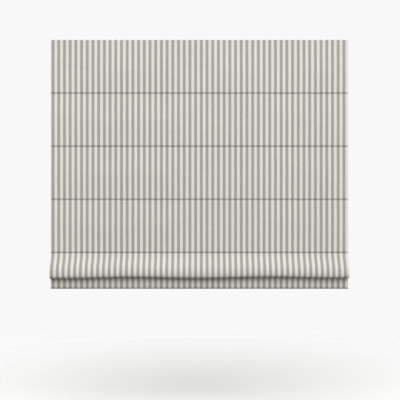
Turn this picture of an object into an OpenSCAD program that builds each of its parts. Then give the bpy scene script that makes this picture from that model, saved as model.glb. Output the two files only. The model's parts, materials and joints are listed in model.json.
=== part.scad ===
// Roman blind, partly raised: cloth with sewn batten pockets on a spring-lift headrail.
// Millimetres. X runs along the width, -Y faces the room and +Z is up.
// The origin is the middle of the top face of the middle bracket.

/* [Blind] */
// Width of the cloth
blind_w = 1400; // [1000:10:2000]
// Distance from one batten seam to the next
batten_pitch = 250; // [200:5:320]
// Length of cloth that hangs below the lowest batten seam
skirt_l = 156; // [130:1:220]

/* [Cloth] */
// Thickness of the cloth
cloth_t = 0.8; // [0.5:0.1:1.2]
// Radius of the cloth's middle where it turns into a seam
crease_r = 1.8; // [1.2:0.1:3]
// Gap between two layers that are sewn together
layer_gap = 0.2; // [0.1:0.05:0.4]
// Room around a batten in its pocket
pocket_play = 0.4; // [0.3:0.05:0.8]
// Height over which the hem closes above its bar pocket
hem_close_h = 7; // [4:1:14]
// Height of the hem's sewn edge above that
hem_sewn_h = 8; // [4:1:14]

/* [Lowest fold] */
// Distance that the fold stands in front of the flat cloth
fold_depth = 39; // [25:1:60]
// Lean of the fold's front below its seam, in degrees from upright
fold_lean = 26; // [10:1:35]
// Length of cloth that the fold's bulge takes up
fold_bulge = 28; // [10:1:40]
// Distance that the lowest seam hangs below the seam above the fold
stack_gap = 16; // [12:1:24]

/* [Battens and cord rings] */
// Diameter of a batten
batten_d = 5; // [3:0.5:7]
// Distance from the end of a batten to the side of the cloth
batten_inset = 14; // [5:1:40]
// Inner diameter of a cord ring
ring_bore_d = 7; // [5:0.5:10]
// Thickness of a cord ring
ring_wire_d = 2.4; // [1.6:0.2:3.2]
// Diameter of a lift cord
cord_d = 1.4; // [1:0.1:2]
// Diameter of a cord adjuster
adjuster_d = 9; // [8:0.5:12]
// Length of a cord adjuster
adjuster_l = 16; // [10:1:24]
// Distance from the side of the cloth to the outer lift cords
lift_inset = 180; // [140:5:300]

/* [Bottom bar] */
// Height of the bar
bar_h = 28; // [20:1:32]
// Thickness of the bar
bar_t = 4; // [3:0.5:6]
// Distance from the end of the bar's cap to the side of the cloth
bar_inset = 10; // [4:1:30]
// Length of a bar cap
bar_cap_l = 14; // [8:1:24]
// Wall of a bar cap
bar_cap_wall = 1; // [0.6:0.1:1.4]
// Depth that the bar reaches into its cap
bar_cap_grip = 10; // [5:1:12]
// Room around the bar in the hem
bar_play = 0.5; // [0.3:0.1:1]

/* [Headrail] */
// Wall of the rail
rail_wall = 1.4; // [1:0.1:2]
// Width of each lip along the rail's open top
rail_lip = 6; // [4:0.5:8]
// Room between the spool flanges and the rail's side
rail_side_room = 1.6; // [1:0.1:4]
// Height from the spool flanges to the rail's top
rail_headroom = 10; // [8:0.5:16]
// Thickness of an end cap outside the rail
end_cap_t = 3; // [2:0.5:5]
// Depth that an end cap's plug reaches into the rail
end_cap_plug = 12; // [8:1:20]
// Wall of an end cap's plug
end_cap_wall = 2; // [1.5:0.1:3]
// Distance from an end cap to the side of the cloth
rail_inset = 4; // [1:1:12]
// Thickness of the hook strip and of the loop strip
strip_t = 1.2; // [0.8:0.1:2]
// Height of the hook strip and of the loop strip
strip_h = 24; // [16:1:28]
// Distance from the rail's top to the strips
strip_top = 4; // [2:0.5:6]

/* [Brackets] */
// Thickness of the bracket's sheet
bracket_t = 1.5; // [1:0.1:2.5]
// Length of a bracket along the rail
bracket_l = 36; // [30:1:60]
// Distance from the side of the cloth to the middle of an outer bracket
bracket_inset = 90; // [60:5:140]
// Diameter of a screw hole
screw_hole_d = 4.5; // [3.5:0.1:5.5]
// Distance between the two screw holes
screw_pitch = 20; // [14:1:24]
// Reach of a bracket's foot under the rail's lip
foot_reach = 4; // [2.5:0.5:5]

/* [Lift shaft and spools] */
// Side of the square lift shaft
shaft_w = 4; // [3:0.2:5]
// Length of shaft that stands out past the outer spools
shaft_end = 8; // [4:1:20]
// Diameter of a spool's drum
drum_d = 15; // [13:0.5:16]
// Length of a spool's drum
drum_l = 34; // [28:1:44]
// Height of a spool's flange above its drum
flange_h = 2; // [1.6:0.1:3]
// Thickness of a spool's flange
flange_t = 1.5; // [1:0.1:2.5]
// Wall of a hub around the square shaft
hub_wall = 1.6; // [1:0.1:2]
// Thickness of the floor of a cradle
cradle_floor = 2.5; // [2:0.1:4]
// Thickness of the end walls of a cradle
cradle_wall = 4; // [3:0.1:6]
// Room between the spool flanges and the cradle's floor
spool_room = 1.2; // [0.8:0.1:3]
// Number of turns of cord that lie on each spool
wound_turns = 7; // [5:1:9]

/* [Spring motor] */
// Distance between the two drum axes
drum_pitch = 15; // [14:0.5:18]
// Width of the spring band
band_w = 40; // [30:1:60]
// Thickness of the spring wound on each drum
coil_build = 2; // [1.2:0.1:2.4]
// Thickness of the band between the drums
band_t = 0.4; // [0.3:0.05:0.6]
// Diameter of the storage drum's pins
pin_d = 5; // [3:0.5:6]
// Thickness of the end walls of the case
case_wall = 6; // [5:0.1:8]
// Thickness of the case below and above its drums
case_skin = 1.6; // [1.2:0.1:2.4]
// Diameter of a case screw
case_screw_d = 2; // [1.6:0.1:2.4]
// Length of a case screw below its head
case_screw_l = 14; // [10:1:16]

/* [Clearances] */
// Radial room of a turning shaft in its bearing
run_fit = 0.05; // [0.02:0.01:0.1]
// Room on each side of a piece that slips onto another
slip_fit = 0.1; // [0.05:0.05:0.3]
// Room between a moving piece and what it passes
pass_gap = 0.4; // [0.3:0.1:0.8]

/* [Hidden] */
eps = 0.01;
$fn = 48;

// Steps of a quarter turn, a pocket and a long curve in the cloth's section
TURN = 6;
LOOP = 28;
CURVE = 18;

// Battens: the first ones hang flat, the last one is lifted up behind the lowest fold
FLAT = 4;
LAST = FLAT + 1;
SIDES = ["left", "middle", "right"];
BATTENS = [for (k = [1:LAST]) k];

// Heights of the headrail, from the mounting face down
drum_r = drum_d / 2;
flange_r = drum_r + flange_h;
rail_top = -bracket_t;
rail_h = rail_wall + cradle_floor + spool_room + 2 * flange_r + rail_headroom;
rail_bottom = rail_top - rail_h;
rail_floor = rail_bottom + rail_wall;
lip_under = rail_top - rail_wall;
shaft_z = rail_floor + cradle_floor + spool_room + flange_r;

// Depths of the headrail; the two drum axes lie evenly about its middle
shaft_y = drum_pitch / 2;
storage_y = -drum_pitch / 2;
rail_inside = shaft_y + flange_r + rail_side_room;
rail_half = rail_inside + rail_wall;
slot_half = rail_inside - rail_lip;
insert_side = rail_inside - pass_gap;

// Lengths along the rail
cap_outer = blind_w / 2 - rail_inset;
rail_l = 2 * (cap_outer - end_cap_t);
lift_xs = [-(blind_w / 2 - lift_inset), 0, blind_w / 2 - lift_inset];
bracket_xs = [-(blind_w / 2 - bracket_inset), 0, blind_w / 2 - bracket_inset];
motor_x = lift_xs[2] / 2;

// Spools and their cradles
hub_r = (shaft_w / 2 + slip_fit) * sqrt(2) + hub_wall;
spool_half = drum_l / 2 + flange_t;
cradle_in = spool_half + pass_gap;
cradle_half = cradle_in + cradle_wall;
cradle_top = shaft_z + flange_r * 0.7;
hub_end = cradle_half + pass_gap;
shaft_half = lift_xs[2] + hub_end + shaft_end;

// The cord falls clear of the drum and through the middle of each ring
cord_y = shaft_y - drum_r - cord_d / 2 - pass_gap;
cord_bore_d = cord_d + 4 * pass_gap;
nozzle_r = cord_bore_d / 2 + rail_wall;
ring_mid_r = (ring_bore_d + ring_wire_d) / 2;
ring_outer_r = ring_mid_r + ring_wire_d / 2;

// Cloth in section: where its middle runs, its pockets and its hem
cloth_back = -rail_half - 2 * strip_t;
cloth_y = cloth_back - cloth_t / 2;
layer_h = (cloth_t + layer_gap) / 2;
pocket_r = batten_d / 2 + pocket_play + cloth_t / 2;
batten_y = cord_y - ring_outer_r - slip_fit - pocket_r - cloth_t / 2;
neck_angle = asin(layer_h / pocket_r);
last_seam = rail_top - FLAT * batten_pitch - stack_gap;
function seam_z(k) = k < LAST ? rail_top - k * batten_pitch : last_seam;

hem_r = (bar_t + 2 * bar_play + cloth_t) / 2 + bar_cap_wall;
hem_bottom = last_seam - skirt_l + cloth_t / 2;
hem_pocket_top = hem_bottom + hem_r + bar_h + 2 * bar_cap_wall + 2 * bar_play;

// Bottom bar and adjusters
bar_end = blind_w / 2 - bar_inset - bar_cap_l + bar_cap_grip;
bar_y = cloth_y + hem_r;
bar_low = hem_bottom + hem_r;
adjuster_top = last_seam - ring_wire_d / 2 - slip_fit;

// Spring motor
coil_r = (drum_pitch - pass_gap * 2) / 2;
coil_bore_r = coil_r - coil_build;
core_r = coil_bore_r - pass_gap;
cavity_r = coil_r + 2 * pass_gap;
case_half = band_w / 2 + pass_gap + case_wall;
case_top = shaft_z + cavity_r + case_skin;
case_screw_x = case_half - case_wall / 2;
case_screw_ys = [storage_y - (cavity_r + pin_d) / 2, shaft_y + (cavity_r + hub_r) / 2];
screw_head_r = case_screw_d * 0.9;
screw_head_h = case_screw_d * 0.7;

// Shapes that several pieces use

// A flat section drawn as [y, z] and run along X, half its length to each side
module along_x(half_l) {
    rotate([90, 0, 90])
        linear_extrude(height = 2 * half_l, center = true)
            children();
}

// A round bar along X between two places
module bar_x(r, from_x, to_x, y, z) {
    translate([from_x, y, z])
        rotate([0, 90, 0])
            cylinder(r = r, h = to_x - from_x);
}

// A box given by its lowest and highest corners
module block(low, high) {
    translate(low)
        cube(high - low);
}

// A ring of material about the X axis
module sleeve_x(outer_r, inner_r, from_x, to_x) {
    difference() {
        bar_x(outer_r, from_x, to_x, 0, 0);
        bar_x(inner_r, from_x - 1, to_x + 1, 0, 0);
    }
}

// Curves of the cloth's section, as lists of [y, z] points

function arc_points(centre, r, from, to, steps) = [
    for (i = [0:steps])
        let (a = from + (to - from) * i / steps)
            centre + r * [cos(a), sin(a)]
];

function curve_point(p, t) =
    pow(1 - t, 3) * p[0] + 3 * t * pow(1 - t, 2) * p[1] + 3 * t * t * (1 - t) * p[2] + pow(t, 3) * p[3];

function curve_points(p) = [for (i = [1:CURVE]) curve_point(p, i / CURVE)];

function after_first(points) = [for (i = [1:len(points) - 1]) points[i]];

// The batten pocket: the upper layer runs back, round the batten and forward again as the lower layer
function pocket_loop(k) =
    arc_points([batten_y, seam_z(k)], pocket_r, 180 - neck_angle, neck_angle - 180, LOOP);

// The turn from hanging cloth into the seam above it, and from the seam into hanging cloth
function turn_in(k) =
    arc_points([cloth_y + crease_r, seam_z(k) + layer_h + crease_r], crease_r, 180, 270, TURN);
function turn_out(k, to) =
    arc_points([cloth_y + crease_r, seam_z(k) - layer_h - crease_r], crease_r, 90, to, TURN);

// The lowest fold holds one pitch of cloth: down to the lip, then up behind it to the lifted seam.
// Each run is a curve whose two handles are shares of the fold's drop or depth.
fold_drop = (batten_pitch + stack_gap - fold_bulge) / 2;
front_handle = 0.33;
lip_front_handle = 1.15;
lip_back_handle = 0.45;
back_handle = 0.5;
lip_place = 0.5;
fold_start = turn_out(FLAT, 180 - fold_lean)[TURN];
fold_way = [-sin(fold_lean), -cos(fold_lean)];
lip_point = [cloth_y - fold_depth * lip_place, seam_z(FLAT) - fold_drop];
lift_centre = [cloth_y + crease_r, last_seam - layer_h - crease_r];
lift_r = crease_r + 2 * layer_h;
fold_end = lift_centre - [lift_r, 0];
fold_front = [
    fold_start,
    fold_start + fold_way * fold_drop * front_handle,
    lip_point - [fold_depth * lip_front_handle, 0],
    lip_point
];
fold_back = [
    lip_point,
    lip_point + [fold_depth * lip_back_handle, 0],
    fold_end - [0, fold_drop * back_handle],
    fold_end
];
function fold_points() = concat(
    turn_out(FLAT, 180 - fold_lean),
    curve_points(fold_front),
    curve_points(fold_back),
    after_first(arc_points(lift_centre, lift_r, 180, 90, TURN))
);

// The hem: round below the bar, up behind it and in to the skirt, where it is sewn
function hem_points() = concat(
    arc_points([cloth_y + hem_r, hem_bottom + hem_r], hem_r, 180, 360, 2 * TURN),
    [[cloth_y + 2 * hem_r, hem_pocket_top]],
    [[cloth_y + 2 * layer_h, hem_pocket_top + hem_close_h]],
    [[cloth_y + 2 * layer_h, hem_pocket_top + hem_close_h + hem_sewn_h]]
);

cloth_line = concat(
    [[cloth_y, rail_top]],
    [for (k = [1:FLAT - 1]) each concat(turn_in(k), pocket_loop(k), turn_out(k, 180))],
    turn_in(FLAT),
    pocket_loop(FLAT),
    fold_points(),
    pocket_loop(LAST),
    turn_out(LAST, 180),
    hem_points()
);

// A line moved sideways by a distance, to its left as it runs
function unit(v) = v / norm(v);
function step_way(line, i) = unit(line[i] - line[i - 1]);
function way(line, i) =
    i == 0 ? step_way(line, 1) :
    i == len(line) - 1 ? step_way(line, i) :
    unit(step_way(line, i) + step_way(line, i + 1));
function moved_line(line, distance) = [
    for (i = [0:len(line) - 1])
        let (w = way(line, i))
            line[i] + distance * [-w[1], w[0]]
];
function reversed(line) = [for (i = [len(line) - 1:-1:0]) line[i]];
function ribbon(line, t) = concat(moved_line(line, t / 2), reversed(moved_line(line, -t / 2)));

// Headrail and what it carries

module rail_section() {
    difference() {
        translate([-rail_half, rail_bottom])
            square([2 * rail_half, rail_h]);
        translate([-rail_inside, rail_floor])
            square([2 * rail_inside, lip_under - rail_floor]);
        translate([-slot_half, lip_under - 1])
            square([2 * slot_half, rail_wall + 2]);
    }
}

module headrail() {
    color("gainsboro")
        difference() {
            along_x(rail_l / 2) rail_section();
            for (x = lift_xs)
                translate([x, cord_y, rail_bottom - 1])
                    cylinder(r = nozzle_r + slip_fit, h = rail_wall + 2);
        }
}

module end_cap(side) {
    plug_side = rail_inside - slip_fit;
    plug_low = rail_floor + slip_fit;
    plug_high = lip_under - slip_fit;
    inner = cap_outer - end_cap_t;
    color("whitesmoke")
        mirror([side < 0 ? 1 : 0, 0, 0]) {
            block([inner, -rail_half, rail_bottom], [cap_outer, rail_half, rail_top]);
            difference() {
                block([inner - end_cap_plug, -plug_side, plug_low], [inner + eps, plug_side, plug_high]);
                block(
                    [inner - end_cap_plug - 1, -plug_side + end_cap_wall, plug_low + end_cap_wall],
                    [inner, plug_side - end_cap_wall, plug_high + 1]
                );
            }
        }
}

// A hat section: the plate lies on the rail's lips and its two feet hook under them
module bracket(x) {
    web_out = slot_half - slip_fit;
    foot_top = lip_under - slip_fit;
    foot_low = foot_top - bracket_t;
    color("silver")
        translate([x, 0, 0])
            difference() {
                along_x(bracket_l / 2) {
                    translate([-rail_inside, rail_top])
                        square([2 * rail_inside, bracket_t]);
                    for (s = [-1, 1]) {
                        translate([s > 0 ? web_out - bracket_t : -web_out, foot_low])
                            square([bracket_t, rail_top - foot_low + eps]);
                        translate([s > 0 ? web_out - eps : -web_out - foot_reach, foot_low])
                            square([foot_reach + eps, bracket_t]);
                    }
                }
                for (s = [-1, 1])
                    translate([s * screw_pitch / 2, 0, rail_top - 1])
                        cylinder(d = screw_hole_d, h = bracket_t + 2);
            }
}

module strip(back_y) {
    high = rail_top - strip_top;
    color("whitesmoke")
        block([-rail_l / 2, back_y - strip_t, high - strip_h], [rail_l / 2, back_y, high]);
}

module hook_strip() {
    strip(-rail_half);
}

module loop_strip() {
    strip(-rail_half - strip_t);
}

// Cloth

module face_fabric() {
    color("beige")
        along_x(blind_w / 2)
            polygon(ribbon(cloth_line, cloth_t));
}

// Lift shaft and spools

module lift_shaft() {
    color("darkgray")
        translate([0, shaft_y, shaft_z])
            cube([2 * shaft_half, shaft_w, shaft_w], center = true);
}

module shaft_hole(half_l) {
    hole_w = shaft_w + 2 * slip_fit;
    cube([2 * half_l + 2, hole_w, hole_w], center = true);
}

module spool(x) {
    color("whitesmoke")
        translate([x, shaft_y, shaft_z])
            difference() {
                union() {
                    bar_x(drum_r, -spool_half, spool_half, 0, 0);
                    bar_x(hub_r, -hub_end, hub_end, 0, 0);
                    for (from_x = [-spool_half, drum_l / 2])
                        bar_x(flange_r, from_x, from_x + flange_t, 0, 0);
                }
                shaft_hole(hub_end);
            }
}

// A tray on the rail's floor with two snap-in bearings and a nozzle through the floor for the cord
module cradle(x) {
    bearing_r = hub_r + run_fit;
    snap_half = bearing_r * 0.88;
    color("whitesmoke")
        translate([x, 0, 0])
            difference() {
                union() {
                    block(
                        [-cradle_half, -insert_side, rail_floor],
                        [cradle_half, insert_side, rail_floor + cradle_floor]
                    );
                    for (from_x = [-cradle_half, cradle_in])
                        block(
                            [from_x, shaft_y - flange_r, rail_floor],
                            [from_x + cradle_wall, shaft_y + flange_r, cradle_top]
                        );
                    translate([0, cord_y, rail_bottom])
                        cylinder(r = nozzle_r, h = rail_wall + eps);
                }
                bar_x(bearing_r, -cradle_half - 1, cradle_half + 1, shaft_y, shaft_z);
                block(
                    [-cradle_half - 1, shaft_y - snap_half, shaft_z],
                    [cradle_half + 1, shaft_y + snap_half, cradle_top + 1]
                );
                translate([0, cord_y, rail_bottom - 1])
                    cylinder(d = cord_bore_d, h = rail_wall + cradle_floor + 2);
            }
}

// The turns that lie on the spools beside the falling cords
module wound_cords() {
    start = cord_d / 2 + pass_gap;
    color("white")
        for (x = lift_xs)
            translate([x, shaft_y, shaft_z])
                sleeve_x(drum_r + cord_d, drum_r, start, start + wound_turns * cord_d);
}

// Spring motor

// The room for the drums, the bearings and the screws, taken out of both halves of the case
module motor_hollow() {
    half = band_w / 2 + pass_gap;
    for (y = [shaft_y, storage_y])
        bar_x(cavity_r, motor_x - half, motor_x + half, y, shaft_z);
    bar_x(hub_r + run_fit, motor_x - case_half - 1, motor_x + case_half + 1, shaft_y, shaft_z);
    bar_x(pin_d / 2 + run_fit, motor_x - case_half - 1, motor_x + case_half + 1, storage_y, shaft_z);
    for (x = [-case_screw_x, case_screw_x], y = case_screw_ys)
        translate([motor_x + x, y, case_top - case_screw_l - slip_fit])
            cylinder(r = case_screw_d / 2 + slip_fit, h = case_screw_l + slip_fit + 1);
}

module motor_half(low_z, high_z) {
    color("lightgray")
        difference() {
            block([motor_x - case_half, -insert_side, low_z], [motor_x + case_half, insert_side, high_z]);
            motor_hollow();
        }
}

module motor_case() {
    motor_half(rail_floor, shaft_z);
}

module motor_cover() {
    motor_half(shaft_z, case_top);
}

module motor_screws() {
    color("dimgray")
        for (x = [-case_screw_x, case_screw_x], y = case_screw_ys)
            translate([motor_x + x, y, case_top]) {
                translate([0, 0, -case_screw_l])
                    cylinder(d = case_screw_d, h = case_screw_l + eps);
                cylinder(r = screw_head_r, h = screw_head_h);
            }
}

module motor_output_drum() {
    color("whitesmoke")
        translate([motor_x, shaft_y, shaft_z])
            difference() {
                union() {
                    bar_x(core_r, -band_w / 2, band_w / 2, 0, 0);
                    bar_x(hub_r, -case_half - pass_gap, case_half + pass_gap, 0, 0);
                }
                shaft_hole(case_half + pass_gap);
            }
}

module motor_storage_drum() {
    color("whitesmoke")
        translate([motor_x, storage_y, shaft_z]) {
            bar_x(core_r, -band_w / 2, band_w / 2, 0, 0);
            bar_x(pin_d / 2, -case_half, case_half, 0, 0);
        }
}

// The band's two coils, and the stretch that crosses from one to the other
module motor_spring() {
    mid_r = coil_r - band_t / 2;
    cross_angle = acos(2 * mid_r / drum_pitch);
    cross = mid_r * [cos(cross_angle), sin(cross_angle)];
    ends = [[storage_y, shaft_z] + cross, [shaft_y, shaft_z] - cross];
    half_w = band_w / 2 - slip_fit;
    color("slategray")
        translate([motor_x, 0, 0]) {
            for (y = [shaft_y, storage_y])
                translate([0, y, shaft_z])
                    sleeve_x(coil_r, coil_bore_r, -half_w, half_w);
            along_x(half_w)
                polygon(ribbon(ends, band_t));
        }
}

// Battens, rings, cords and bottom bar

module batten(k) {
    half_l = blind_w / 2 - batten_inset;
    color("ivory")
        bar_x(batten_d / 2, -half_l, half_l, batten_y, seam_z(k));
}

module cord_rings(k) {
    color("white")
        for (x = lift_xs)
            translate([x, cord_y, seam_z(k)])
                rotate_extrude()
                    translate([ring_mid_r, 0])
                        circle(d = ring_wire_d, $fn = 24);
}

module lift_cord(x) {
    color("white")
        translate([x, cord_y, adjuster_top])
            cylinder(d = cord_d, h = shaft_z - adjuster_top);
}

module cord_adjusters() {
    color("white")
        for (x = lift_xs)
            translate([x, cord_y, adjuster_top])
                rotate_extrude()
                    polygon([
                        [0, 0],
                        [adjuster_d / 2, 0],
                        [adjuster_d / 2, -adjuster_l * 0.6],
                        [adjuster_d / 3, -adjuster_l],
                        [0, -adjuster_l]
                    ]);
}

// The lowest edge of the bar stands on the caps' floor, which lies on the hem
module bottom_bar() {
    low = bar_low + bar_cap_wall;
    color("silver")
        block([-bar_end, bar_y - bar_t / 2, low], [bar_end, bar_y + bar_t / 2, low + bar_h]);
}

module bar_cap(side) {
    outer = blind_w / 2 - bar_inset;
    half_t = bar_t / 2 + slip_fit;
    low = bar_low + bar_cap_wall;
    color("whitesmoke")
        mirror([side < 0 ? 1 : 0, 0, 0])
            difference() {
                block(
                    [outer - bar_cap_l, bar_y - half_t - bar_cap_wall, bar_low - slip_fit],
                    [outer, bar_y + half_t + bar_cap_wall, low + bar_h + slip_fit + bar_cap_wall]
                );
                block(
                    [outer - bar_cap_l - 1, bar_y - half_t, low - slip_fit],
                    [outer - bar_cap_l + bar_cap_grip + slip_fit, bar_y + half_t, low + bar_h + slip_fit]
                );
            }
}

headrail();
end_cap(-1);  // end_cap_left
end_cap(1);  // end_cap_right
for (i = [0:2]) bracket(bracket_xs[i]);
hook_strip();
loop_strip();
face_fabric();
lift_shaft();
for (i = [0:2]) spool(lift_xs[i]);
for (i = [0:2]) cradle(lift_xs[i]);
wound_cords();
motor_case();
motor_cover();
motor_screws();
motor_output_drum();
motor_storage_drum();
motor_spring();
for (k = BATTENS) batten(k);
for (k = BATTENS) cord_rings(k);
for (i = [0:2]) lift_cord(lift_xs[i]);
cord_adjusters();
bottom_bar();
bar_cap(-1);  // bar_cap_left
bar_cap(1);  // bar_cap_right
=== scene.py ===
"""Roman blind, partly raised: striped cotton on five battens below a spring-lift headrail."""

import json
import math

import bmesh
import bpy
from mathutils import Matrix, Vector


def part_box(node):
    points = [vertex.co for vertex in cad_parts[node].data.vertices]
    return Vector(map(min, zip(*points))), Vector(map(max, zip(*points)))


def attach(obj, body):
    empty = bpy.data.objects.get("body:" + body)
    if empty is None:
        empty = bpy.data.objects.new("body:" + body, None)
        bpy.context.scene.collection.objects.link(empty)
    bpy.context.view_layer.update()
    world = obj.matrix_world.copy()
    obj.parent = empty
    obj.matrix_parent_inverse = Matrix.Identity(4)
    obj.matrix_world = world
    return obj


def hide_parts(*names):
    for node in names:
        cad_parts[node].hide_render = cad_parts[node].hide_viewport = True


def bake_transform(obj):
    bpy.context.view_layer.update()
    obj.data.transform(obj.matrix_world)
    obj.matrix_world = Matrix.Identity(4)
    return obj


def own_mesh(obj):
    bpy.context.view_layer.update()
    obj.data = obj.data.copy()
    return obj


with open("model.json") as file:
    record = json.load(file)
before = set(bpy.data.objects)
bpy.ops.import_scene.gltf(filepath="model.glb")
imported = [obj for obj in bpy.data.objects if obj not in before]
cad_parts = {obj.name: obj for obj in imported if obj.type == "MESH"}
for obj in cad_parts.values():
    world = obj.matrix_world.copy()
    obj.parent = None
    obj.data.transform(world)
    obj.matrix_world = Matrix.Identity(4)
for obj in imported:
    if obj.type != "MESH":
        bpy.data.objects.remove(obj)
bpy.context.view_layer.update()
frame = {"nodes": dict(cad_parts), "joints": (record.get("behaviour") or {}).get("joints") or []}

SIDES = ("left", "middle", "right")
FLAT_ROWS = (1, 2, 3, 4)
FOLD_ROW = 4
LAST_ROW = 5
ALL_ROWS = (*FLAT_ROWS, LAST_ROW)

# Sizes that the part's source gives, in metres
CLOTH_T = 0.0008
CREASE_R = 0.0018
LAYER_H = 0.0005
POCKET_R = 0.0033
HEM_R = 0.0039
HEM_POCKET = 0.031
HEM_CLOSE = 0.007
HEM_SEWN = 0.008
FOLD_DEPTH = 0.039
FOLD_DROP = 0.119
CORD_R = 0.0007

# Steps across the width of the cloth
COLUMNS = 120

# How the cloth hangs: the swell of a panel and the depth of a seam, in metres
PANEL_BULGE = 0.002
NECK_DEPTH = 0.0028

# How the fold hangs: its belly in metres, its lean in degrees, all else as shares
BELLY_DEPTH = 0.041
FOLD_LEAN = 9.0
BELLY_PLACE = 0.79
FRONT_HANDLE = 0.5
UNDER_HANDLE = 0.6
LIP_PLACE = 0.5
LIP_FRONT_HANDLE = 0.4
LIP_BACK_HANDLE = 0.45
BACK_HANDLE = 0.5
FOLD_SPLIT = 0.35

# The lip of the fold: height and length of its wave in metres, and its slope
LIP_WAVE = 0.0026
LIP_WAVE_LENGTH = 0.65
LIP_TILT = 0.002

# Share of its depth that a panel keeps when it is pressed flat
PANEL_KEEP = 0.02

# Columns on the turned part of a side hem, as shares of its width
SIDE_HEM_PLACES = (0.1, 0.5, 0.9, 1.0)

# Sewing and cords, in metres
SIDE_HEM = 0.030
STITCH_INSET = 0.003
STITCH_PITCH = 0.004
STITCH_CORE = 0.0002
STITCH_EDGE = 0.0005
THREAD_R = 0.0003
THREAD_PITCH = 2.3 * THREAD_R
THREAD_CLEAR = 1.5 * THREAD_R
CORD_TAIL = 0.015
KNOT_R = 0.002
KNOT_DROP = 0.8 * KNOT_R
KNOT_END_TOP = 2 * KNOT_R
KNOT_END_LOW = 4 * KNOT_R

# Where each piece's warp length starts, so that the finish can tell seams, skirt and pockets apart
SEAM_WARP = 0.0
SMOOTH_WARP = 2.0
SKIRT_WARP = 4.0
POCKET_WARP = 6.0


def middle(node):
    low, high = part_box(node)
    return (low + high) / 2


def body_of(row):
    """The body that carries a batten and what is sewn to it."""
    return f"row_{row}" if row in FLAT_ROWS else "bottom"


seam = {row: middle(f"batten_{row}").z for row in ALL_ROWS}
batten_y = middle("batten_1").y
cloth_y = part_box("loop_strip")[0].y - CLOTH_T / 2
neck_y = cloth_y + NECK_DEPTH
rail_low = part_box("headrail")[0].z
cloth_low, cloth_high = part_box("face_fabric")
half_width = cloth_high.x
raise_joint = next(joint for joint in frame["joints"] if joint["name"] == "raise")
lift_travel = raise_joint["range_m"][1]


# Section of the cloth, as points (y, z)


def arc(centre, radius, start, stop, steps=6):
    """Points on an arc between two angles in degrees."""
    angles = [math.radians(start + (stop - start) * i / steps) for i in range(steps + 1)]
    return [(centre[0] + radius * math.cos(a), centre[1] + radius * math.sin(a)) for a in angles]


def curve(handles, start=0.0, stop=1.0, steps=24):
    """Points on a stretch of the cubic curve that four handles shape."""
    points = []
    for i in range(steps + 1):
        t = start + (stop - start) * i / steps
        share = ((1 - t) ** 3, 3 * t * (1 - t) ** 2, 3 * t * t * (1 - t), t**3)
        points.append(tuple(sum(w * h[axis] for w, h in zip(share, handles)) for axis in (0, 1)))
    return points


def joined(*runs):
    """One line from several runs, with no point twice."""
    line = []
    for point in (p for run in runs for p in run):
        if not line or math.dist(point, line[-1]) > 1e-6:
            line.append(point)
    return line


def lengthwise(line):
    """Length along a line."""
    return sum(math.dist(a, b) for a, b in zip(line, line[1:]))


def hanging(top, low, upper_share=0, lower_share=0, steps=12):
    """A fall of cloth; its two shares say which part of a panel's forward swell it takes."""
    points = []
    for i in range(steps + 1):
        t = i / steps
        share = upper_share + (lower_share - upper_share) * t
        swell = PANEL_BULGE * math.sin(math.pi * share) ** 2
        points.append((cloth_y - swell, top + (low - top) * t))
    return points


def turn_in(row):
    """From hanging cloth back into the seam, as its upper layer."""
    centre = (cloth_y + CREASE_R, seam[row] + LAYER_H + CREASE_R)
    return joined(arc(centre, CREASE_R, 180, 270), [(neck_y, seam[row] + LAYER_H)])


def turn_out(row, stop=180):
    """Out of the seam, as its lower layer, into hanging cloth."""
    centre = (cloth_y + CREASE_R, seam[row] - LAYER_H - CREASE_R)
    return joined([(neck_y, seam[row] - LAYER_H)], arc(centre, CREASE_R, 90, stop))


def pocket_line(row):
    """Out of the seam, round the batten and back into the seam."""
    neck = math.degrees(math.asin(LAYER_H / POCKET_R))
    loop = arc((batten_y, seam[row]), POCKET_R, 180 - neck, neck - 180, steps=28)
    return joined([(neck_y, seam[row] + LAYER_H)], loop, [(neck_y, seam[row] - LAYER_H)])


# The fold: out of its seam, over the belly, round the lip and up behind to the last batten
fold_out = turn_out(FOLD_ROW, 180 - FOLD_LEAN)
fold_start = fold_out[-1]
belly = (cloth_y - BELLY_DEPTH, seam[FOLD_ROW] - FOLD_DROP * BELLY_PLACE)
lip = (cloth_y - FOLD_DEPTH * LIP_PLACE, seam[FOLD_ROW] - FOLD_DROP)
lift_centre = (cloth_y + CREASE_R, seam[LAST_ROW] - LAYER_H - CREASE_R)
lift_r = CREASE_R + 2 * LAYER_H
fold_end = (lift_centre[0] - lift_r, lift_centre[1])
lean = math.radians(FOLD_LEAN)
reach = (fold_start[1] - belly[1]) * FRONT_HANDLE
front_handles = (
    fold_start,
    (fold_start[0] - math.sin(lean) * reach, fold_start[1] - math.cos(lean) * reach),
    (belly[0], belly[1] + reach),
    belly,
)
under_handles = (
    belly,
    (belly[0], belly[1] + (lip[1] - belly[1]) * UNDER_HANDLE),
    (lip[0] - FOLD_DEPTH * LIP_FRONT_HANDLE, lip[1]),
    lip,
)
back_handles = (
    lip,
    (lip[0] + FOLD_DEPTH * LIP_BACK_HANDLE, lip[1]),
    (fold_end[0], fold_end[1] - FOLD_DROP * BACK_HANDLE),
    fold_end,
)
front_line = joined(fold_out, curve(front_handles), curve(under_handles, steps=14))
fold_line = joined(front_line, curve(back_handles, 0, FOLD_SPLIT, steps=12))
back_line = joined(
    curve(back_handles, FOLD_SPLIT, 1),
    arc(lift_centre, lift_r, 180, 90),
    [(neck_y, seam[LAST_ROW] + LAYER_H)],
)
lip_length = lengthwise(front_line)
back_length = lengthwise(back_line)
behind_lip = lengthwise(fold_line) + back_length - lip_length

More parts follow.
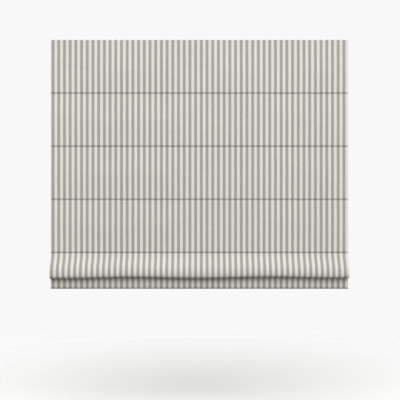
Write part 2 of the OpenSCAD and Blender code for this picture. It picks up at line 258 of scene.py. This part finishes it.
# The skirt: down from the last batten, round the bottom bar and up to the seam of the hem
hem_low = cloth_low.z + CLOTH_T / 2
hem_centre = (cloth_y + HEM_R, hem_low + HEM_R)
hem_top = hem_centre[1] + HEM_POCKET
hem_sewn_y = cloth_y + 2 * LAYER_H
skirt_top = seam[LAST_ROW] - LAYER_H - CREASE_R
skirt_fall = joined(turn_out(LAST_ROW), hanging(skirt_top, hem_centre[1], steps=10))
skirt_line = joined(
    skirt_fall,
    arc(hem_centre, HEM_R, 180, 360, steps=12),
    [(cloth_y + 2 * HEM_R, hem_top)],
    [(hem_sewn_y, hem_top + HEM_CLOSE)],
    [(hem_sewn_y, hem_top + HEM_CLOSE + HEM_SEWN)],
)

# Places along the weft of the side hem, and along the warp of what the finish has to find
side_edge = half_width - LAYER_H - CLOTH_T / 2
side_under = side_edge + LAYER_H * math.pi
hem_edge = SKIRT_WARP + lengthwise(skirt_fall) + HEM_R * math.pi / 2
hem_front_seam = SKIRT_WARP + seam[LAST_ROW] - (hem_top + HEM_CLOSE + HEM_SEWN / 2)
hem_back_seam = SKIRT_WARP + lengthwise(skirt_line) - HEM_SEWN / 2
pocket_end = POCKET_WARP + lengthwise(pocket_line(1))


# Making cloth


def even_places(half):
    """Even places from one side to the other."""
    return [half * (2 * i / COLUMNS - 1) for i in range(COLUMNS + 1)]


def plain_columns():
    """Places across the cloth as (x, distance behind the face, length along the weft)."""
    return [(x, 0.0, x) for x in even_places(half_width)]


def hemmed_columns(steps=6):
    """Places across the cloth with its two side hems turned to the back."""
    right = []
    for i in range(steps + 1):
        a = math.pi * i / steps
        turned = (LAYER_H * math.sin(a), LAYER_H * (1 - math.cos(a)), LAYER_H * a)
        right.append((side_edge + turned[0], turned[1], side_edge + turned[2]))
    for share in SIDE_HEM_PLACES:
        width = SIDE_HEM * share
        right.append((side_edge - width, 2 * LAYER_H, side_under + width))
    left = [(-x, behind, -weft) for x, behind, weft in reversed(right)]
    face = [(x, 0.0, x) for x in even_places(side_edge)[1:-1]]
    return left + face + right


def back_of(line):
    """The way to the back of the cloth at each point of a section line."""
    ways = []
    for i in range(len(line)):
        a, b = Vector(line[max(i - 1, 0)]), Vector(line[min(i + 1, len(line) - 1)])
        if 0 < i < len(line) - 1:
            here = Vector(line[i])
            along = (here - a).normalized() + (b - here).normalized()
        else:
            along = b - a
        along.normalize()
        ways.append((-along.y, along.x))
    return ways


def hang_cloth(name, line, columns, warp, sway=None):
    """A length of cloth whose rows follow a section line and whose columns run across the width."""
    last_column, last_row = len(columns) - 1, len(line) - 1
    lengths = [warp]
    for a, b in zip(line, line[1:]):
        lengths.append(lengths[-1] + math.dist(a, b))
    backs = back_of(line)
    bm = bmesh.new()
    bmesh.ops.create_grid(bm, x_segments=last_column, y_segments=last_row, size=0.5)
    threads = bm.loops.layers.uv.new("threads")
    place = {}
    for v in bm.verts:
        place[v] = (round((v.co.x + 0.5) * last_column), round((v.co.y + 0.5) * last_row))
    for face in bm.faces:
        for loop in face.loops:
            column, row = place[loop.vert]
            loop[threads].uv = (columns[column][2], lengths[row])
    for v, (column, row) in place.items():
        x, behind, _ = columns[column]
        behind -= CLOTH_T / 2
        v.co = (x, line[row][0] + behind * backs[row][0], line[row][1] + behind * backs[row][1])
        if sway:
            v.co.z += sway(x, lengths[row])
    middle_face = bm.faces[:][last_column // 2]
    face_way = Vector((0, -backs[0][0], -backs[0][1]))
    bm.normal_update()
    if middle_face.normal.dot(face_way) < 0:
        bmesh.ops.reverse_faces(bm, faces=bm.faces)
        bm.normal_update()
    bmesh.ops.solidify(bm, geom=bm.faces[:], thickness=CLOTH_T)
    return as_piece(name, bm, sharp=50)


def as_piece(name, bm, sharp=35):
    """An object from a mesh, smooth but for edges that are sharper than an angle in degrees."""
    for face in bm.faces:
        face.smooth = True
    mesh = bpy.data.meshes.new(name)
    bm.to_mesh(mesh)
    bm.free()
    mesh.set_sharp_from_angle(angle=math.radians(sharp))
    piece = bpy.data.objects.new(name, mesh)
    bpy.context.scene.collection.objects.link(piece)
    return piece


# Finishes


class Wire:
    """A socket of a node tree; arithmetic on it adds Math nodes."""

    def __init__(self, nodes, socket):
        self.nodes = nodes
        self.socket = socket

    def maths(self, operation, *values):
        sockets = dict(enumerate(values))
        return self.nodes.node("ShaderNodeMath", {"operation": operation}, sockets)

    def __add__(self, other):
        return self.maths("ADD", self, other)

    __radd__ = __add__

    def __sub__(self, other):
        return self.maths("SUBTRACT", self, other)

    def __rsub__(self, other):
        return self.maths("SUBTRACT", other, self)

    def __mul__(self, other):
        return self.maths("MULTIPLY", self, other)

    __rmul__ = __mul__

    def __abs__(self):
        return self.maths("ABSOLUTE", self)

    def root(self):
        return self.maths("SQRT", self)

    def most(self, other):
        return self.maths("MAXIMUM", self, other)

    def wave(self, length):
        """A sine with this wavelength."""
        return self.maths("SINE", self * (2 * math.pi / length))

    def crest(self, length):
        """A cosine with this wavelength."""
        return self.maths("COSINE", self * (2 * math.pi / length))

    def ramp(self, low, high, to_low=0.0, to_high=1.0):
        """Runs smoothly from one value to the other between two limits."""
        settings = {"interpolation_type": "SMOOTHSTEP"}
        limits = {"From Min": low, "From Max": high, "To Min": to_low, "To Max": to_high}
        return self.nodes.node("ShaderNodeMapRange", settings, {"Value": self, **limits})


class Nodes:
    """The node tree of a material or a world, and the one way of adding nodes to it."""

    def __init__(self, owner):
        owner.use_nodes = True
        self.tree = owner.node_tree

    def node(self, kind, settings=None, sockets=None, output=0):
        made = self.tree.nodes.new(kind)
        for key, value in (settings or {}).items():
            setattr(made, key, value)
        for key, value in (sockets or {}).items():
            self.feed(made.inputs[key], value)
        return Wire(self, made.outputs[output])

    def feed(self, socket, value):
        if isinstance(value, Wire):
            self.tree.links.new(value.socket, socket)
        else:
            socket.default_value = value

    def seen(self):
        """1 on what the camera sees, straight, in gloss or through glass; 0 on other light."""
        kinds = ("Camera", "Glossy", "Transmission")
        straight, in_gloss, through_glass = (
            self.node("ShaderNodeLightPath", output=f"Is {kind} Ray") for kind in kinds
        )
        return straight.most(in_gloss).most(through_glass)


class Finish(Nodes):
    """A material whose looks are set on its one shader."""

    def __init__(self, name, **constants):
        self.material = bpy.data.materials.new(name)
        super().__init__(self.material)
        self.shader = self.tree.nodes["Principled BSDF"]
        self.set(**constants)

    def set(self, **sockets):
        for key, value in sockets.items():
            self.feed(self.shader.inputs[key.replace("_", " ")], value)

    def object_place(self):
        return self.node("ShaderNodeTexCoord", output="Object")

    def threads(self):
        """Lengths across and along the threads, from the piece's own map."""
        return self.split(self.node("ShaderNodeUVMap", {"uv_map": "threads"}))[:2]

    def split(self, vector):
        made = self.node("ShaderNodeSeparateXYZ", sockets={0: vector})
        outputs = made.socket.node.outputs
        return [Wire(self, outputs[i]) for i in range(3)]

    def join(self, x, y, z=0.0):
        return self.node("ShaderNodeCombineXYZ", sockets={0: x, 1: y, 2: z})

    def grain(self, vector, scale=1.0, detail=2.0, roughness=0.5):
        sockets = {"Vector": vector, "Scale": scale, "Detail": detail, "Roughness": roughness}
        return self.node("ShaderNodeTexNoise", sockets=sockets)

    def drawn_grain(self, along, around, detail=2.0):
        """Grain of a long piece: so many cells per metre along X and across it."""
        x, y, z = self.split(self.object_place())
        return self.grain(self.join(x * along, y * around, z * around), detail=detail)

    def blend(self, share, a, b):
        """Colour a where the share is 0, colour b where it is 1."""
        return self.node("ShaderNodeMix", {"data_type": "RGBA"}, {0: share, 6: a, 7: b}, output=2)

    def shaded(self, colour, share):
        """A colour dimmed by a share between 0 and 1."""
        grey = self.node("ShaderNodeCombineColor", sockets={0: share, 1: share, 2: share})
        settings = {"data_type": "RGBA", "blend_type": "MULTIPLY"}
        return self.node("ShaderNodeMix", settings, {0: 1.0, 6: colour, 7: grey}, output=2)

    def raise_by(self, height, distance, strength=1.0):
        """The surface normal over a height that varies."""
        sockets = {"Height": height, "Distance": distance, "Strength": strength}
        return self.node("ShaderNodeBump", sockets=sockets)


def tone(red, green, blue):
    """A colour written as it shows on a screen, from 0 to 255."""

    def linear(level):
        level /= 255
        return level / 12.92 if level <= 0.04045 else ((level + 0.055) / 1.055) ** 2.4

    return (linear(red), linear(green), linear(blue), 1.0)


# Sizes in the finishes, in metres
STRIPE_PERIOD = 0.02685
STRIPE_CENTRE = -0.0044
WEAVE_PITCH = 0.0018
HOOK_PITCH = 0.0016
BRAID_PITCH = 0.0011
WOUND_PITCH = 0.0028
TWIST_PITCH = 0.0007

# Painted shade beside the seams of the cloth and along its hem's edge: the share of the colour left
# in it, and where it starts and ends
PAINTED_SHADE_DEEPEST = 0.56
SHADE_START = 0.002
SHADE_ABOVE = 0.0078
SHADE_BELOW = 0.009
SHADE_HEM = 0.018


def striped_cotton():
    finish = Finish(
        "striped_cotton", Sheen_Weight=0.15, Sheen_Roughness=0.5, Specular_IOR_Level=0.2
    )
    weft, warp = finish.threads()

    def yarn(weft_cells, warp_cells, detail=2.0):
        """Grain with so many cells per metre along the weft and along the warp."""
        return finish.grain(finish.join(weft * weft_cells, warp * warp_cells), detail=detail)

    def stitches(across, along, place):
        """A row of stitches: 1 on the thread and 0 beside it."""
        on_row = abs(across - place).ramp(STITCH_CORE, STITCH_EDGE, 1.0, 0.0)
        return on_row * along.crest(STITCH_PITCH).ramp(-0.6, 0.0)

    def painted_shade_beside(distance, reach):
        """Share of the colour that painted shade leaves at a distance from a crease or an edge."""
        return distance.ramp(SHADE_START, reach, PAINTED_SHADE_DEEPEST, 1.0)

    slubs = yarn(900, 40)
    picks = yarn(60, 1100, detail=1.0)
    heather = yarn(160, 110, detail=3.0)
    flecks = yarn(620, 170).ramp(0.36, 0.64)
    broad = yarn(4, 4)

    wander = 0.3 * (picks - 0.5) + 0.2 * (slubs - 0.5)
    stripe = ((weft - STRIPE_CENTRE).crest(STRIPE_PERIOD) + wander).ramp(-0.16, 0.16)
    cream_mix = slubs * 0.6 + heather * 0.2 + flecks * 0.5 - 0.15
    cream = finish.blend(cream_mix, tone(214, 211, 202), tone(232, 229, 221))
    grey_mix = slubs * 0.35 + picks * 0.2 + heather * 0.25 + flecks * 0.46 - 0.13
    grey = finish.blend(grey_mix, tone(140, 139, 136), tone(182, 181, 177))
    striped = finish.blend(stripe, grey, cream)

    side = abs(weft)
    sewing = stitches(side, warp, side_edge - SIDE_HEM + STITCH_INSET)
    sewing = sewing.most(stitches(side, warp, side_under + SIDE_HEM - STITCH_INSET))
    for place in (
        hem_front_seam,
        hem_back_seam,
        POCKET_WARP + STITCH_INSET,
        pocket_end - STITCH_INSET,
    ):
        sewing = sewing.most(stitches(warp, weft, place))
    sewn = finish.blend(sewing, striped, tone(224, 221, 211))

    # Painted shade: the colour is darkened beside each seam, beside the skirt's seam and along the
    # hem's bottom edge
    painted_shade_above_seam = painted_shade_beside(SEAM_WARP - warp, SHADE_ABOVE)
    painted_shade_below_seam = painted_shade_beside(warp - SEAM_WARP, SHADE_BELOW)
    painted_shade_skirt_seam = painted_shade_beside(abs(warp - SKIRT_WARP), SHADE_BELOW)
    painted_shade_hem_edge = painted_shade_beside(abs(warp - hem_edge), SHADE_HEM)
    painted_crease_shade = painted_shade_above_seam.most(painted_shade_below_seam) * painted_shade_skirt_seam * painted_shade_hem_edge
    # Broad random tone, times the painted shade
    tone_and_painted_shade = broad.ramp(0.3, 0.7, 0.965, 1.0) * painted_crease_shade

    weave = weft.wave(WEAVE_PITCH) * warp.wave(WEAVE_PITCH)
    height = weave * 0.5 + slubs * 0.8 + picks * 0.5 + sewing * 3.0
    finish.set(
        Base_Color=finish.shaded(sewn, tone_and_painted_shade),
        Roughness=0.86 + 0.08 * slubs,
        Normal=finish.raise_by(height, distance=0.00012, strength=0.6),
    )
    return finish.material


def moulded_plastic(name, colour, worn, roughness=0.42):
    finish = Finish(name, Specular_IOR_Level=0.45)
    place = finish.object_place()
    mottle = finish.grain(place, scale=35.0, detail=3.0)
    spark = finish.grain(place, scale=2600.0, detail=1.0)
    finish.set(
        Base_Color=finish.blend(mottle.ramp(0.3, 0.75), colour, worn),
        Roughness=roughness - 0.06 + 0.12 * mottle,
        Normal=finish.raise_by(spark, distance=0.00004, strength=0.5),
    )
    return finish.material


def powder_coat():
    finish = Finish("powder_coat", Specular_IOR_Level=0.5)
    place = finish.object_place()
    peel = finish.grain(place, scale=620.0)
    cloud = finish.grain(place, scale=6.0)
    finish.set(
        Base_Color=finish.blend(cloud, tone(222, 222, 219), tone(232, 232, 229)),
        Roughness=0.3 + 0.12 * cloud,
        Normal=finish.raise_by(peel, distance=0.00006, strength=0.4),
    )
    return finish.material


def drawn_metal(name, dark, bright, roughness):
    """Metal with fine lines along its length, as rolled bar and extrusion show."""
    finish = Finish(name, Metallic=1.0)
    lines = finish.drawn_grain(along=9, around=2200, detail=3.0)
    cloud = finish.drawn_grain(along=12, around=60)
    finish.set(
        Base_Color=finish.blend(lines, dark, bright),
        Roughness=roughness - 0.08 + 0.1 * lines + 0.08 * cloud,
        Normal=finish.raise_by(lines, distance=0.00003, strength=0.5),
    )
    return finish.material


def zinc_plate():
    finish = Finish("zinc_plate", Metallic=1.0)
    place = finish.object_place()
    bloom = finish.grain(place, scale=90.0, detail=4.0)
    grit = finish.grain(place, scale=1500.0, detail=1.0)
    finish.set(
        Base_Color=finish.blend(bloom.ramp(0.3, 0.7), tone(138, 140, 143), tone(172, 171, 164)),
        Roughness=0.42 + 0.2 * bloom,
        Normal=finish.raise_by(grit, distance=0.00003, strength=0.5),
    )
    return finish.material


def hook_tape():
    finish = Finish("hook_tape", Specular_IOR_Level=0.4)
    place = finish.object_place()
    x, _, z = finish.split(place)
    hooks = x.wave(HOOK_PITCH) * z.wave(HOOK_PITCH)
    fuzz = finish.grain(place, scale=1800.0)
    finish.set(
        Base_Color=finish.blend(hooks.ramp(-0.4, 0.6), tone(196, 196, 192), tone(232, 232, 228)),
        Roughness=0.6 + 0.15 * fuzz,
        Normal=finish.raise_by(hooks + fuzz, distance=0.0003, strength=0.7),
    )
    return finish.material


def loop_tape():
    finish = Finish("loop_tape", Sheen_Weight=0.4, Specular_IOR_Level=0.2)
    place = finish.object_place()
    fuzz = finish.grain(place, scale=1400.0, detail=4.0, roughness=0.7)
    clumps = finish.grain(place, scale=180.0)
    pile = fuzz * 0.6 + clumps * 0.4
    finish.set(
        Base_Color=finish.blend(pile, tone(206, 205, 200), tone(238, 237, 232)),
        Roughness=0.85 + 0.1 * fuzz,
        Normal=finish.raise_by(fuzz + clumps, distance=0.0004, strength=0.8),
    )
    return finish.material


def braided_cord():
    finish = Finish("braided_cord", Sheen_Weight=0.25, Specular_IOR_Level=0.3)
    around, along = finish.threads()
    climb = along * 0.6
    strands = (climb + around).wave(BRAID_PITCH).most((climb - around).wave(BRAID_PITCH))
    finish.set(
        Base_Color=finish.blend(strands.ramp(-0.2, 0.9), tone(196, 193, 184), tone(238, 236, 229)),
        Roughness=0.7 + 0.1 * strands,
        Normal=finish.raise_by(strands, distance=0.00015, strength=0.8),
    )
    return finish.material


def wound_cord():
    finish = Finish("wound_cord", Sheen_Weight=0.25, Specular_IOR_Level=0.3)
    x = finish.split(finish.object_place())[0]
    # Painted shade: the cord is coloured darker in the grooves between its turns; the same wave
    # raises the turns
    turns_and_groove_shade = abs((x * 0.5).wave(WOUND_PITCH))
    strands = finish.drawn_grain(along=900, around=500)
    finish.set(
        Base_Color=finish.blend(turns_and_groove_shade.ramp(0.1, 0.7), tone(150, 147, 140), tone(234, 232, 225)),
        Roughness=0.72 + 0.1 * strands,
        Normal=finish.raise_by(turns_and_groove_shade * 3 + strands, distance=0.0002, strength=0.9),
    )
    return finish.material


def sewing_thread():
    finish = Finish("sewing_thread", Sheen_Weight=0.3, Specular_IOR_Level=0.3)
    place = finish.object_place()
    x, y, z = finish.split(place)
    twist = (x + y + z).wave(TWIST_PITCH)
    fuzz = finish.grain(place, scale=3000.0)
    finish.set(
        Base_Color=finish.blend(twist.ramp(-0.8, 0.8), tone(204, 201, 190), tone(236, 233, 224)),
        Roughness=0.75 + 0.1 * fuzz,
        Normal=finish.raise_by(twist + fuzz, distance=0.0001, strength=0.7),
    )
    return finish.material


def glass_rod():
    finish = Finish("glass_rod", Specular_IOR_Level=0.5, Coat_Weight=0.15)
    fibres = finish.drawn_grain(along=14, around=3000, detail=3.0)
    finish.set(
        Base_Color=finish.blend(fibres, tone(214, 210, 192), tone(236, 233, 220)),
        Roughness=0.34 + 0.16 * fibres,
        Normal=finish.raise_by(fibres, distance=0.00004, strength=0.6),
    )
    return finish.material


cotton = striped_cotton()
braid = braided_cord()
thread = sewing_thread()
white_plastic = moulded_plastic("white_plastic", tone(232, 232, 229), tone(240, 240, 237))
ring_plastic = moulded_plastic("ring_plastic", tone(236, 236, 232), tone(244, 244, 241), 0.3)
motor_plastic = moulded_plastic("motor_plastic", tone(176, 178, 180), tone(190, 192, 194), 0.5)
shaft_steel = drawn_metal("shaft_steel", tone(150, 151, 153), tone(188, 189, 190), 0.34)
spring_steel = drawn_metal("spring_steel", tone(96, 100, 108), tone(146, 150, 158), 0.26)
screw_steel = drawn_metal("screw_steel", tone(120, 121, 124), tone(170, 171, 173), 0.3)
bar_metal = drawn_metal("bar_metal", tone(190, 191, 192), tone(216, 217, 217), 0.4)

# Finish of each solid, by its name or by its name without the side or number at its end
solid_finish = {
    "headrail": powder_coat(),
    "end_cap": white_plastic,
    "bracket": zinc_plate(),
    "hook_strip": hook_tape(),
    "loop_strip": loop_tape(),
    "lift_shaft": shaft_steel,
    "spool": white_plastic,
    "cradle": white_plastic,
    "wound_cords": wound_cord(),
    "motor_case": motor_plastic,
    "motor_cover": motor_plastic,
    "motor_screws": screw_steel,
    "motor_output_drum": white_plastic,
    "motor_storage_drum": white_plastic,
    "motor_spring": spring_steel,
    "batten": glass_rod(),
    "cord_rings": ring_plastic,
    "cord_adjusters": ring_plastic,
    "bottom_bar": bar_metal,
    "bar_cap": white_plastic,
}
for name, solid in frame["nodes"].items():
    family = name if name in solid_finish else name.rsplit("_", 1)[0]
    if family in solid_finish:
        solid.data.materials.clear()
        solid.data.materials.append(solid_finish[family])


# Hanging the cloth


def dress(piece, finish):
    """Gives a piece its finish."""
    piece.data.materials.append(finish)
    return piece


def sewn_cloth(name, line, columns, warp, sway=None):
    """A length of the striped cotton."""
    return dress(hang_cloth(name, line, columns, warp, sway), cotton)


def declare_cloth(line, columns):
    """Works out the flat size of a length of cloth along weft and warp; nothing uses it."""
    flat = (columns[-1][2] - columns[0][2], lengthwise(line))


hemmed = hemmed_columns()
plain = plain_columns()

# Slope to which the halves of a panel would have to close, so that they take up the blind's travel
row_drop = rail_low - seam[FOLD_ROW]
bend_z = math.sqrt(lift_travel / row_drop / (1 - PANEL_KEEP))


def panel_half(name, line, warp, body):
    """Half of a panel, carried by the rail or by the body of a batten."""
    piece = sewn_cloth(name, line, hemmed, warp)
    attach(piece, body)
    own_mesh(piece)
    declare_cloth(line, hemmed)


heading_line = hanging(cloth_high.z, rail_low, steps=4)
heading = sewn_cloth("cloth_heading", heading_line, hemmed, SMOOTH_WARP)
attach(heading, "rail")
declare_cloth(heading_line, hemmed)

for row in FLAT_ROWS:
    if row == 1:
        top, out, warp = rail_low, [], SMOOTH_WARP
        fall_top, carrier, held_by = rail_low, "rail", "loop_strip"
    else:
        top, out, warp = seam[row - 1], turn_out(row - 1), SEAM_WARP
        fall_top = top - LAYER_H - CREASE_R
        carrier, held_by = body_of(row - 1), f"batten_{row - 1}"
    half_way = (top + seam[row]) / 2
    upper = joined(out, hanging(fall_top, half_way, 0, 0.5))
    panel_half(f"cloth_panel_{row}_upper", upper, warp, carrier)

    fall_low = seam[row] + LAYER_H + CREASE_R
    lower = joined(hanging(half_way, fall_low, 0.5, 1), turn_in(row))
    warp = SEAM_WARP - lengthwise(lower)
    panel_half(f"cloth_panel_{row}_lower", lower, warp, body_of(row))

for row in ALL_ROWS:
    line = pocket_line(row)
    pocket = sewn_cloth(f"cloth_pocket_{row}", line, plain, POCKET_WARP)
    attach(pocket, body_of(row))
    declare_cloth(line, plain)


def lip_wave(x):
    """How far the lip of the fold hangs below its middle line."""
    return LIP_WAVE * math.cos(2 * math.pi * x / LIP_WAVE_LENGTH) - LIP_TILT * x


def fold_sway(x, warp):
    """How far the fold rises at a place on it: most along its lip and nothing at its two seams."""
    past_seam = warp - SEAM_WARP
    if past_seam < 0:
        near = -past_seam / behind_lip
    elif past_seam < lip_length:
        near = past_seam / lip_length
    else:
        near = 1 - (past_seam - lip_length) / behind_lip
    return -lip_wave(x) * near * near * (3 - 2 * near)


# The front of the fold rides on the fourth batten, and the rest of its back is a piece of its own,
# fixed in place
fold = sewn_cloth("cloth_fold", fold_line, hemmed, SEAM_WARP, fold_sway)
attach(fold, "row_4")
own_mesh(fold)
declare_cloth(fold_line, hemmed)
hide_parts("face_fabric")

back_warp = SEAM_WARP - back_length
fold_back = sewn_cloth("cloth_fold_back", back_line, plain, back_warp, fold_sway)
stretch_start = (0, cloth_y, back_line[0][1] + LIP_WAVE + LIP_TILT * half_width)
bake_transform(fold_back)
declare_cloth(back_line, plain)

skirt = sewn_cloth("cloth_skirt", skirt_line, plain, SKIRT_WARP)
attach(skirt, "bottom")
declare_cloth(skirt_line, plain)


# Lift cords, their knots and the threads that hold the rings

lift_xs = {side: middle(f"lift_cord_{side}").x for side in SIDES}
cord_y = middle("lift_cord_middle").y
cord_low, cord_high = (corner.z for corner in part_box("lift_cord_middle"))
tail_top = seam[FOLD_ROW] + CORD_TAIL
cord_keep = 1 - lift_travel / (cord_high - tail_top)


def edges_of(corners):
    """Edges that meet at these corners, each once and in a fixed order."""
    return list(dict.fromkeys(edge for v in corners for edge in v.link_edges))


def round_cord(bm, x, top, low, steps=2):
    """A straight stretch of round cord with closed ends."""
    ring = bmesh.ops.create_circle(bm, cap_ends=False, segments=12, radius=CORD_R)["verts"]
    bmesh.ops.translate(bm, verts=ring, vec=(x, cord_y, top))
    first = edges = edges_of(ring)
    for _ in range(steps):
        made = bmesh.ops.extrude_edge_only(bm, edges=edges)["geom"]
        step = [g for g in made if isinstance(g, bmesh.types.BMVert)]
        bmesh.ops.translate(bm, verts=step, vec=(0, 0, (low - top) / steps))
        edges = [g for g in made if isinstance(g, bmesh.types.BMEdge)]
    bmesh.ops.contextual_create(bm, geom=first)
    bmesh.ops.contextual_create(bm, geom=edges)


def as_braid(name, bm):
    """A piece of cord, with lengths around and along it for its finish."""
    bmesh.ops.recalc_face_normals(bm, faces=bm.faces)
    threads = bm.loops.layers.uv.new("threads")
    for face in bm.faces:
        for loop in face.loops:
            corner = loop.vert.co
            x = min(lift_xs.values(), key=lambda place: abs(place - corner.x))
            around = math.atan2(corner.y - cord_y, corner.x - x) * CORD_R
            loop[threads].uv = (around, corner.z)
    return dress(as_piece(name, bm), braid)


for side, x in lift_xs.items():
    bm = bmesh.new()
    round_cord(bm, x, cord_high, tail_top)
    run = as_braid(f"cord_run_{side}", bm)
    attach(run, "rail")
    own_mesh(run)
    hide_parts(f"lift_cord_{side}")

    bm = bmesh.new()
    round_cord(bm, x, tail_top, cord_low, steps=12)
    tail = as_braid(f"cord_tail_{side}", bm)
    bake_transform(tail)

bm = bmesh.new()
adjuster_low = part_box("cord_adjusters")[0].z
for x in lift_xs.values():
    ball = bmesh.ops.create_uvsphere(bm, u_segments=16, v_segments=10, radius=KNOT_R)["verts"]
    bmesh.ops.translate(bm, verts=ball, vec=(x, cord_y, adjuster_low - KNOT_DROP))
    round_cord(bm, x, adjuster_low - KNOT_END_TOP, adjuster_low - KNOT_END_LOW)
knots = as_braid("cord_knots", bm)
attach(knots, "bottom")

ring_low, ring_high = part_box("cord_rings_1")
wire_r = (ring_high.z - ring_low.z) / 2
wire_y = ring_low.y + wire_r
loop_r = wire_r + THREAD_CLEAR


def thread_loop(bm, x, z):
    """One turn of sewing thread round a ring and through the pocket behind it."""
    section = bmesh.ops.create_circle(bm, cap_ends=False, segments=8, radius=THREAD_R)["verts"]
    upright = Matrix.Rotation(math.pi / 2, 3, "X")
    bmesh.ops.rotate(bm, verts=section, cent=(0, 0, 0), matrix=upright)
    centre = Vector((x, wire_y - THREAD_R, z))
    bmesh.ops.translate(bm, verts=section, vec=centre + Vector((0, 0, loop_r)))
    bmesh.ops.spin(
        bm,
        geom=section + edges_of(section),
        cent=centre,
        axis=(1, 0, 0),
        angle=2 * math.pi,
        steps=20,
        use_merge=True,
    )


for row in ALL_ROWS:
    bm = bmesh.new()
    for x in lift_xs.values():
        for turn in (-1, 0, 1):
            thread_loop(bm, x + THREAD_PITCH * turn, seam[row])
    bmesh.ops.recalc_face_normals(bm, faces=bm.faces)
    ring_threads = dress(as_piece(f"ring_threads_{row}", bm), thread)
    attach(ring_threads, body_of(row))


# Camera, light and stage

# The view: metres, but for the width of the picture in pixels and of the sensor in millimetres
VIEW_DISTANCE = 3.95
VIEW_HEIGHT = -0.755
VIEW_ASIDE = 0.0028
PHOTO_PIXELS = 400
PIXEL_SIZE = 0.004709
SENSOR_MM = 36.0

# The floor, in metres, and the strength of the light from all round
FLOOR_Z = -1.8
FLOOR_R = 3.2
FLOOR_FADE_R = 0.45 * FLOOR_R
AMBIENT = 0.06

scene = bpy.context.scene
scene.view_settings.view_transform = "Standard"

camera = bpy.data.objects.new("camera", bpy.data.cameras.new("camera"))
scene.collection.objects.link(camera)
camera.location = (VIEW_ASIDE, cloth_y - VIEW_DISTANCE, VIEW_HEIGHT)
camera.rotation_euler = (math.radians(90), 0, 0)
camera.data.sensor_width = SENSOR_MM
camera.data.lens = SENSOR_MM * VIEW_DISTANCE / (PHOTO_PIXELS * PIXEL_SIZE)
scene.camera = camera


def sun(name, way, spread, strength):
    """Even soft light that falls along a direction, spread over an angle in degrees."""
    data = bpy.data.lights.new(name, "SUN")
    data.angle = math.radians(spread)
    data.energy = strength
    made = bpy.data.objects.new(name, data)
    scene.collection.objects.link(made)
    made.rotation_euler = Vector(way).to_track_quat("-Z", "Y").to_euler()


sun("key", way=(-0.2, 0.985, 0.174), spread=140, strength=1.99)
sun("sky", way=(0.0, 0.743, -0.669), spread=60, strength=1.99)
sun("behind", way=(0.3, -0.85, -0.4), spread=70, strength=2.4)


def pale_floor():
    """Pale matt floor that fades out all round and throws little light back up."""
    finish = Finish("pale_floor", Specular_IOR_Level=0.2)
    place = finish.object_place()
    cloud = finish.grain(place, scale=2.0)
    x, y, _ = finish.split(place)
    far = (x * x + y * y).root()
    seen = finish.seen()
    pale = finish.blend(cloud, tone(233, 233, 232), tone(236, 236, 235))
    finish.set(
        Base_Color=finish.blend(seen, tone(25, 25, 25), pale),
        Emission_Color=finish.blend(seen, tone(0, 0, 0), tone(106, 106, 106)),
        Emission_Strength=1.0,
        Roughness=0.8 + 0.1 * cloud,
        Alpha=far.ramp(FLOOR_FADE_R, FLOOR_R, 1.0, 0.0),
    )
    return finish.material


bm = bmesh.new()
bmesh.ops.create_circle(bm, cap_ends=True, segments=64, radius=FLOOR_R)
bmesh.ops.translate(bm, verts=bm.verts, vec=(0, 0, FLOOR_Z))
floor = as_piece("floor", bm)
floor.data.materials.append(pale_floor())

# A white background for the eye, and a faint warm light from all round
scene.world = bpy.data.worlds.new("studio")
studio = Nodes(scene.world)
studio.tree.nodes.clear()
warm = {"Color": (1.0, 0.995, 0.98, 1), "Strength": AMBIENT}
white = {"Color": (0.94, 0.94, 0.94, 1), "Strength": 1.0}
backgrounds = {
    0: studio.seen(),
    1: studio.node("ShaderNodeBackground", sockets=warm),
    2: studio.node("ShaderNodeBackground", sockets=white),
}
surface = studio.tree.nodes.new("ShaderNodeOutputWorld").inputs["Surface"]
studio.feed(surface, studio.node("ShaderNodeMixShader", sockets=backgrounds))

bpy.context.view_layer.update()
